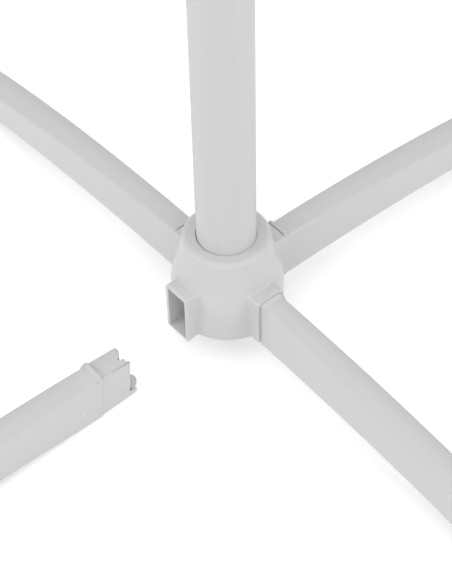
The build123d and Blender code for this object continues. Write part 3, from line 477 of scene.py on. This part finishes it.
def half_span(place, side, reach):
    """Half of one span: from an arm's middle plane to half-way to the next arm."""
    sizes = bpy.context.scene.clothesline_sizes
    pivot = Vector(joint_data("arm_fold_" + place)["pos_m"])
    pivot_r = pivot.xy.length
    tilt = radians(ARM_TILT)
    turn = Matrix.Rotation(radians(ARMS[place]), 3, "Z")
    height = pivot.z + (reach - pivot_r) * tan(tilt)
    start = Vector((reach, side * LINE_BEND, height))
    middle = (reach + LINE_BEND) / 2
    end = Vector((middle, side * middle, height))
    longest = sizes.line_first + (sizes.line_rounds - 1) * sizes.line_pitch
    sag = sizes.line_sag * (reach / longest) ** 2
    points = [turn @ Vector((reach, 0, height))]
    for k in range(SPAN_STEPS + 1):
        t = k / SPAN_STEPS
        points.append(turn @ (start.lerp(end, t) - Vector((0, 0, sag * t * (2 - t)))))
    mesh = tube_mesh("line_half", points, sizes.line_diameter / 2)
    hand = "left" if side > 0 else "right"
    piece = mesh_object(f"line_{place}_{hand}_{round(reach / MM)}", mesh, "line_cord")
    # folded: both halves of a span still meet in the plane between their arms
    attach(piece, "arm_" + place)
    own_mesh(piece)
    return piece


class CLOTHESLINE_OT_drying_line(bpy.types.Operator):
    """Drying line in half spans that follow the arms as they fold"""

    bl_idname = "clothesline.drying_line"
    bl_label = "Drying line"

    def execute(self, context):
        sizes = context.scene.clothesline_sizes
        for place in ARMS:
            for k in range(sizes.line_rounds):
                for side in (-1, 1):
                    half_span(place, side, sizes.line_first + k * sizes.line_pitch)
        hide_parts("drying_line")
        return {"FINISHED"}


# ---- Arms ---------------------------------------------------------------
def arm_place(place, along, across):
    """Point at lengths along and across an arm's middle line, from its pivot."""
    pivot = Vector(joint_data("arm_fold_" + place)["pos_m"])
    tilt = radians(ARM_TILT)
    turn = Matrix.Rotation(radians(ARMS[place]), 3, "Z")
    direction = turn @ Vector((cos(tilt), 0, sin(tilt)))
    sideways = turn @ Vector((0, 1, 0))
    return pivot + along * direction + across * sideways


def eyelet_mesh(flange, inner):
    """Flanged eyelet about Z, its flange above z = 0 and its sleeve below."""
    sleeve = inner + 0.5 * MM
    depth = 2.2 * MM
    rise = 0.9 * MM
    profile = [(inner, -depth), (sleeve, -depth), (sleeve, 0), (flange, 0), (flange, rise * 0.45),
               (flange - 0.5 * MM, rise), (inner + 0.7 * MM, rise), (inner, rise * 0.4)]
    return lathe_mesh("eyelet", profile, 28)


class CLOTHESLINE_OT_eyelets(bpy.types.Operator):
    """Eyelets where the line passes through the arms"""

    bl_idname = "clothesline.eyelets"
    bl_label = "Eyelets"

    def execute(self, context):
        sizes = context.scene.clothesline_sizes
        inner = sizes.line_diameter / 2 + 0.2 * MM
        arm_low, arm_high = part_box("arm_right")
        arm_side = (arm_high.y - arm_low.y) / 2
        for place, azimuth in ARMS.items():
            pivot_r = Vector(joint_data("arm_fold_" + place)["pos_m"]).xy.length
            places = []
            for k in range(sizes.line_rounds):
                along = (sizes.line_first + k * sizes.line_pitch - pivot_r) / cos(radians(ARM_TILT))
                for side in (-1, 1):
                    point = arm_place(place, along, side * arm_side)
                    turn = Euler((-side * pi / 2, 0, radians(azimuth)))
                    places.append((point, tuple(turn)))
            pattern = eyelet_mesh(sizes.eyelet_flange, inner)
            piece = repeated("eyelets_" + place, pattern, places, "grey_plastic")
            dressed(piece, "arm_" + place)
        return {"FINISHED"}


# ---- Legs ---------------------------------------------------------------
# Places are from the mast's axis and heights from the floor, with the leg in its socket.
LEG_ROOT = 55.75 * MM       # shoulder
ROOT_TOP = 74.0 * MM
ROOT_BOTTOM = 27.6 * MM
ROOT_HALF = 11.2 * MM       # half the width at the shoulder
PAD_INNER = 405.0 * MM      # inner edge of a leg's pad
PULL_OUT = 92.9 * MM        # how far the loose leg lies from its socket
FOOT_END = 19.0 * MM        # end of the low foot under the tenon's end
FOOT_END_LOW = 33.0 * MM    # height of the tenon's underside there
FOOT_TOP = 38.0 * MM
MOUTH_LOW = 27.7 * MM       # height of the tenon's underside at the shoulder
TONGUE_ROOT = 27.0 * MM
TONGUE_TIP = 12.9 * MM
TONGUE_HALF = 7.2 * MM
TONGUE_LOW = 35.4 * MM
SHOULDER_BACK = 58.5 * MM
SHOULDER_LOW = ROOT_BOTTOM + 0.6 * MM
SHOULDER_TOP = ROOT_TOP + 2.2 * MM
SHOULDER_EDGE = 0.5 * MM    # chamfer of its upright corners
CUT_TOP = 80.0 * MM         # above everything that is cut
ROOF_CUT_LOW = 62.0 * MM
GROOVE = (54.3 * MM, 55.7 * MM)
GROOVE_HALF = 12.0 * MM
GROOVE_LOW = 73.3 * MM
LUG_CUT_TIP = 6.0 * MM      # the cut at the upper lug starts beyond the lug's tip
LUG_CUT_HALF = 14.0 * MM
WELD = 0.002 * MM           # corners of the frame's mesh closer than this are one
FEWEST_FACES = 500          # a leg with fewer was lost in the cut
# Plan of what is worn off the tenon's roof, in millimetres
WORN_ROOF = [(20, -7.9), (25.6, -7.9), (26.9, -4.6), (27.4, -2.6), (29.4, -0.2), (31.9, 0.6),
             (32.5, 2.2), (31.4, 3.4), (29.2, 3.1), (27.5, 4.2), (27.7, 5.6), (28.4, 7.2),
             (26.4, 8.1), (20, 8.1)]


def leg_pose(place):
    """Matrix that takes a shape on the leg's own plugged-in line to its place at rest."""
    turn = Matrix.Rotation(radians(LEGS[place]), 4, "Z")
    if place != LOOSE_LEG:
        return turn
    tilt = atan(ROOT_BOTTOM / (PAD_INNER - LEG_ROOT))
    on_floor = Matrix.Translation((PAD_INNER, 0, 0)) @ Matrix.Rotation(-tilt, 4, "Y")
    return (turn @ Matrix.Translation((PULL_OUT, 0, 0)) @ on_floor
            @ Matrix.Translation((-PAD_INNER, 0, 0)))


def prism(builder, outline, low, high):
    """Upright prism of an outline of (x, y) points, counter-clockwise."""
    below = [builder.verts.new((x, y, low)) for x, y in outline]
    above = [builder.verts.new((x, y, high)) for x, y in outline]
    builder.faces.new(list(reversed(below)))
    builder.faces.new(above)
    for k in range(len(outline)):
        nxt = (k + 1) % len(outline)
        builder.faces.new((below[k], below[nxt], above[nxt], above[k]))


def underside(reach):
    """Height of a plugged tenon's underside at a distance from the mast's axis."""
    share = (reach - FOOT_END) / (LEG_ROOT - FOOT_END)
    return FOOT_END_LOW + share * (MOUTH_LOW - FOOT_END_LOW)


def box_outline(x0, x1, half):
    """Outline of a box that is even about y = 0."""
    return [(x0, -half), (x1, -half), (x1, half), (x0, half)]


def tongue_outline(steps=16):
    """Plan of the flat tongue, with a round tip."""
    points = [(TONGUE_ROOT, -TONGUE_HALF), (TONGUE_ROOT, TONGUE_HALF)]
    middle = TONGUE_TIP + TONGUE_HALF
    for k in range(steps + 1):
        turn = pi / 2 + pi * k / steps
        points.append((middle + TONGUE_HALF * cos(turn), TONGUE_HALF * sin(turn)))
    return points


def shoulder_outline():
    """Plan of the crisp shoulder that meets the socket's mouth."""
    half = ROOT_HALF - 0.1 * MM
    front = LEG_ROOT - 0.1 * MM
    edge = SHOULDER_EDGE
    return [(SHOULDER_BACK, half), (front + edge, half), (front, half - edge),
            (front, edge - half), (front + edge, -half), (SHOULDER_BACK, -half)]


def even_shading(piece, angle=30):
    """Smooth shading in which the flat faces stay flat up to their rounded edges."""
    piece.data.shade_smooth()
    piece.data.set_sharp_from_angle(angle=radians(angle))
    modifier = piece.modifiers.new("even_shading", "WEIGHTED_NORMAL")
    modifier.weight = 100
    modifier.keep_sharp = True
    seen = piece.evaluated_get(bpy.context.evaluated_depsgraph_get())
    mesh = bpy.data.meshes.new_from_object(seen)
    piece.modifiers.clear()
    piece.data = mesh


def cut(piece, cutter):
    """Take a cutter's solid away from a piece."""
    tool = bpy.data.objects.new("cutter", cutter)
    bpy.context.scene.collection.objects.link(tool)
    modifier = piece.modifiers.new("cut", "BOOLEAN")
    modifier.operation = "DIFFERENCE"
    modifier.solver = "EXACT"
    modifier.object = tool
    seen = piece.evaluated_get(bpy.context.evaluated_depsgraph_get())
    mesh = bpy.data.meshes.new_from_object(seen)
    bpy.data.objects.remove(tool)
    piece.modifiers.clear()
    piece.data = mesh


def tenon_cutters(pose):
    """What is taken off the tenon: its roof's worn end, a groove, the upper lug's outer end."""
    builder = bmesh.new()
    prism(builder, [(x * MM, y * MM) for x, y in WORN_ROOF], ROOF_CUT_LOW, CUT_TOP)
    prism(builder, box_outline(*GROOVE, GROOVE_HALF), GROOVE_LOW, CUT_TOP)
    prism(builder, box_outline(LUG_CUT_TIP, FOOT_END - 0.02 * MM, LUG_CUT_HALF),
          FOOT_TOP + 0.05 * MM, ROOF_CUT_LOW - 0.1 * MM)
    builder.transform(pose)
    return finished_mesh("cutter", builder)


class CLOTHESLINE_OT_legs(bpy.types.Operator):
    """Legs with the fine shape of their plug-in ends"""

    bl_idname = "clothesline.legs"
    bl_label = "Legs"

    def execute(self, context):
        for place in LEGS:
            node = "leg_" + place
            builder = bmesh.new()
            builder.from_mesh(frame["nodes"][node].data)
            bmesh.ops.remove_doubles(builder, verts=builder.verts, dist=WELD)
            mesh = bpy.data.meshes.new(node + "_shape")
            builder.to_mesh(mesh)
            builder.free()
            mesh.materials.clear()
            mesh.materials.append(finish_for("white_plastic"))
            pose = leg_pose(place)
            piece = mesh_object(node + "_shape", mesh, "white_plastic", 30)
            cut(piece, tenon_cutters(pose))
            builder = bmesh.new()
            builder.from_mesh(piece.data)
            count = len(builder.verts)
            prism(builder, tongue_outline(), TONGUE_LOW, FOOT_TOP)
            prism(builder, shoulder_outline(), SHOULDER_LOW, SHOULDER_TOP)
            builder.verts.ensure_lookup_table()
            bmesh.ops.transform(builder, matrix=pose, verts=builder.verts[count:])
            builder.to_mesh(piece.data)
            builder.free()
            even_shading(piece)
            back = pose.inverted()
            across = piece.data.attributes.new("across", "FLOAT", "POINT")
            for vert in piece.data.vertices:
                across.data[vert.index].value = (back @ vert.co).y
            if len(piece.data.polygons) < FEWEST_FACES:
                raise RuntimeError("the cut took away " + node)
            dressed(piece, node)
            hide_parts(node)
        return {"FINISHED"}


# ---- Hub ----------------------------------------------------------------
SOCKET_INNER = 26.0 * MM    # the open socket's inner end and mouth, from the mast's axis
SOCKET_MOUTH = 55.6 * MM
SOCKET_HALF = 10.7 * MM     # half its width inside and outside
SOCKET_OUTER_HALF = 13.4 * MM
FLOOR_CLEARANCE = 0.4 * MM
FLOOR_T = 1.2 * MM
RING_OUTER = 0.92 * MM      # the ring's edges, out from the mast
RING_INNER = 0.36 * MM
RING_SHIFT = (-0.24, 0.22, 0)   # millimetres that its hole lies off the middle
RING_DROP = 0.15 * MM       # its top below the hub's
RING_DEPTH = 2.2 * MM
RING_STEPS = 96


class CLOTHESLINE_OT_socket_floor(bpy.types.Operator):
    """Tray that closes the socket whose leg is out from below"""

    bl_idname = "clothesline.socket_floor"
    bl_label = "Socket floor"

    def execute(self, context):
        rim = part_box("base_hub")[0][2] + 0.05 * MM
        near, far = SOCKET_INNER, SOCKET_MOUTH
        tops = [underside(reach) - FLOOR_CLEARANCE for reach in (near, far)]
        lows = [top - FLOOR_T for top in tops]
        floor = [(near, lows[0]), (far, lows[1]), (far, tops[1]), (near, tops[0])]
        wedge_start = near + (far - near) * (lows[0] - rim) / (lows[0] - lows[1])
        cheek = [(wedge_start, rim), (far, lows[1]), (far, rim)]
        builder = bmesh.new()
        prism(builder, floor, -SOCKET_HALF - 0.1 * MM, SOCKET_HALF + 0.1 * MM)
        prism(builder, cheek, SOCKET_HALF, SOCKET_OUTER_HALF)
        prism(builder, cheek, -SOCKET_OUTER_HALF, -SOCKET_HALF)
        builder.transform(Matrix.Rotation(radians(90), 4, "X"))
        builder.transform(Matrix.Rotation(radians(LEGS[LOOSE_LEG]), 4, "Z"))
        mesh = finished_mesh("socket_floor", builder)
        piece = mesh_object("socket_floor", mesh, "white_plastic")
        dressed(piece, "base")
        return {"FINISHED"}


class CLOTHESLINE_OT_lip_ring(bpy.types.Operator):
    """Ring between the hub's lip and the mast, which stands a little off its middle"""

    bl_idname = "clothesline.lip_ring"
    bl_label = "Lip ring"

    def execute(self, context):
        mast_low, mast_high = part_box("mast_lower")
        mast_r = (mast_high[0] - mast_low[0]) / 2
        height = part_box("base_hub")[1][2] - RING_DROP
        top = Vector((0, 0, height))
        bottom = Vector((0, 0, height - RING_DEPTH))
        builder = bmesh.new()
        rings = []
        for k in range(RING_STEPS):
            turn = 2 * pi * k / RING_STEPS
            side = Vector((cos(turn), sin(turn), 0))
            hole = side * (mast_r + RING_INNER) + Vector(RING_SHIFT) * MM
            edge = side * (mast_r + RING_OUTER)
            rings.append([builder.verts.new(corner) for corner in
                          (hole + bottom, edge + bottom, edge + top, hole + top)])
        join_rings(builder, rings)
        mesh = finished_mesh("lip_ring", builder)
        piece = mesh_object("lip_ring", mesh, "white_plastic")
        dressed(piece, "base")
        return {"FINISHED"}


# ---- Stage --------------------------------------------------------------
FRAME_H = 584           # height of the rendered frame in pixels
FOCAL_PX = 1739.3       # focal length in the same pixels
SENSOR = 36             # millimetres
CAMERA_TURN = (5.71, 49.49, -1.47)      # degrees about the upright, down, and about its own line
CAMERA_PLACE = (0.0950, -0.9652, 1.1716)
FLOOR_HALF = 30         # metres
FLOOR_GLOW = 0.38
ROOM_LIGHT = 0.80
ROOM_LEAN = 0.38        # how much brighter the room is in front, and darker behind
LAMPS = (               # name, place, aim, size in metres, power in watts
    ("overhead", (-0.3, -0.3, 3.4), (0, 0, 0.3), 2.4, 10),
    ("left_strip", (-2.2, -0.6, 1.35), (0, 0, 0.1), 0.3, 7),
    ("right_strip", (2.2, -0.6, 1.35), (0, 0, 0.1), 0.3, 7),
)


class CLOTHESLINE_OT_stage(bpy.types.Operator):
    """Floor, world, lamps and camera"""

    bl_idname = "clothesline.stage"
    bl_label = "Stage"

    def execute(self, context):
        scene = context.scene
        floor_mesh = bpy.data.meshes.new("floor")
        corners = [(x * FLOOR_HALF, y * FLOOR_HALF, 0)
                   for x, y in ((-1, -1), (1, -1), (1, 1), (-1, 1))]
        floor_mesh.from_pydata(corners, [], [(0, 1, 2, 3)])
        floor = bpy.data.objects.new("floor", floor_mesh)
        scene.collection.objects.link(floor)
        floor_mesh.materials.append(floor_material())
        world = bpy.data.worlds.new("soft_room")
        world.use_nodes = True
        light_world(world.node_tree)
        scene.world = world
        for lamp in LAMPS:
            add_lamp(*lamp)
        camera_data = bpy.data.cameras.new("camera")
        camera_data.sensor_width = SENSOR
        camera_data.lens = FOCAL_PX * SENSOR / FRAME_H
        camera_data.clip_start = 0.01
        camera = bpy.data.objects.new("camera", camera_data)
        yaw, pitch, roll = (radians(a) for a in CAMERA_TURN)
        camera.matrix_world = (Matrix.Translation(Vector(CAMERA_PLACE))
                               @ Matrix.Rotation(yaw, 4, "Z")
                               @ Matrix.Rotation(pi / 2 - pitch, 4, "X")
                               @ Matrix.Rotation(roll, 4, "Z"))
        scene.collection.objects.link(camera)
        scene.camera = camera
        scene.view_settings.view_transform = "Standard"
        return {"FINISHED"}


def floor_material():
    """Pale floor that camera and mirror rays see as white, with the object's shadow."""
    material = bpy.data.materials.new("floor_paper")
    material.use_nodes = True
    tree = material.node_tree
    shader = tree.nodes["Principled BSDF"]
    shader.inputs["Base Color"].default_value = (0.9, 0.9, 0.9, 1)
    shader.inputs["Roughness"].default_value = 0.9
    shader.inputs["Specular IOR Level"].default_value = 0.1
    glow = tree.nodes.new("ShaderNodeEmission")
    glow.inputs["Color"].default_value = (1, 1, 1, 1)
    strength = tree.nodes.new("ShaderNodeMath")
    strength.operation = "MULTIPLY"
    strength.inputs[1].default_value = FLOOR_GLOW
    tree.links.new(seen_rays(tree), strength.inputs[0])
    tree.links.new(strength.outputs["Value"], glow.inputs["Strength"])
    both = tree.nodes.new("ShaderNodeAddShader")
    tree.links.new(shader.outputs["BSDF"], both.inputs[0])
    tree.links.new(glow.outputs["Emission"], both.inputs[1])
    tree.links.new(both.outputs["Shader"], tree.nodes["Material Output"].inputs["Surface"])
    return material


def seen_rays(tree):
    """1 for camera, mirror and see-through rays, and 0 for the rays that light the object."""
    path = tree.nodes.new("ShaderNodeLightPath")
    total = path.outputs["Is Camera Ray"]
    for kind in ("Is Glossy Ray", "Is Transmission Ray"):
        either = tree.nodes.new("ShaderNodeMath")
        either.operation = "MAXIMUM"
        tree.links.new(total, either.inputs[0])
        tree.links.new(path.outputs[kind], either.inputs[1])
        total = either.outputs["Value"]
    return total


def light_world(tree):
    """White where it is seen, and a softer room light on the object."""
    background = tree.nodes["Background"]
    background.inputs["Color"].default_value = (1, 1, 1, 1)
    level = tree.nodes.new("ShaderNodeMapRange")
    level.inputs["To Max"].default_value = 1.0
    tree.links.new(room_level(tree), level.inputs["To Min"])
    tree.links.new(seen_rays(tree), level.inputs["Value"])
    tree.links.new(level.outputs["Result"], background.inputs["Strength"])


def room_level(tree):
    """Strength of the room light, brighter from the front (-Y) than from the back."""
    place = tree.nodes.new("ShaderNodeTexCoord")
    parts = tree.nodes.new("ShaderNodeSeparateXYZ")
    tree.links.new(place.outputs["Generated"], parts.inputs["Vector"])
    slope = tree.nodes.new("ShaderNodeMapRange")
    slope.inputs["From Min"].default_value = -1
    slope.inputs["From Max"].default_value = 1
    slope.inputs["To Min"].default_value = ROOM_LIGHT + ROOM_LEAN
    slope.inputs["To Max"].default_value = ROOM_LIGHT - ROOM_LEAN
    tree.links.new(parts.outputs["Y"], slope.inputs["Value"])
    return slope.outputs["Result"]


def add_lamp(name, place, aim, size, power):
    """Soft square area lamp that looks at a point."""
    lamp = bpy.data.lights.new(name, "AREA")
    lamp.size = size
    lamp.energy = power
    holder = bpy.data.objects.new(name, lamp)
    away = Vector(place) - Vector(aim)
    turn = away.to_track_quat("Z", "Y").to_matrix().to_4x4()
    holder.matrix_world = Matrix.Translation(Vector(place)) @ turn
    bpy.context.scene.collection.objects.link(holder)


# ---- Panel and registration ---------------------------------------------
OPERATORS = (
    CLOTHESLINE_OT_finishes,
    CLOTHESLINE_OT_drying_line,
    CLOTHESLINE_OT_eyelets,
    CLOTHESLINE_OT_legs,
    CLOTHESLINE_OT_socket_floor,
    CLOTHESLINE_OT_lip_ring,
    CLOTHESLINE_OT_stage,
)


class CLOTHESLINE_PT_panel(bpy.types.Panel):
    """Lists the sizes, the colours and the build steps"""

    bl_idname = "CLOTHESLINE_PT_panel"
    bl_label = "Rotary clothesline"
    bl_space_type = "VIEW_3D"
    bl_region_type = "UI"
    bl_category = "Clothesline"

    def draw(self, context):
        for group in (context.scene.clothesline_sizes, context.scene.clothesline_colours):
            for name in group.bl_rna.properties.keys():
                if name not in ("rna_type", "name"):
                    self.layout.prop(group, name)
        for operator in OPERATORS:
            self.layout.operator(operator.bl_idname)


CLASSES = (CLOTHESLINE_PG_sizes, CLOTHESLINE_PG_colours) + OPERATORS + (CLOTHESLINE_PT_panel,)


def register():
    for item in CLASSES:
        bpy.utils.register_class(item)
    bpy.types.Scene.clothesline_sizes = bpy.props.PointerProperty(type=CLOTHESLINE_PG_sizes)
    bpy.types.Scene.clothesline_colours = bpy.props.PointerProperty(type=CLOTHESLINE_PG_colours)


def unregister():
    del bpy.types.Scene.clothesline_colours
    del bpy.types.Scene.clothesline_sizes
    for item in reversed(CLASSES):
        bpy.utils.unregister_class(item)


def main():
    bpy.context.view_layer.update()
    register()
    bpy.ops.clothesline.finishes()
    bpy.ops.clothesline.drying_line()
    bpy.ops.clothesline.eyelets()
    bpy.ops.clothesline.legs()
    bpy.ops.clothesline.socket_floor()
    bpy.ops.clothesline.lip_ring()
    bpy.ops.clothesline.stage()


if __name__ == "__main__":
    main()
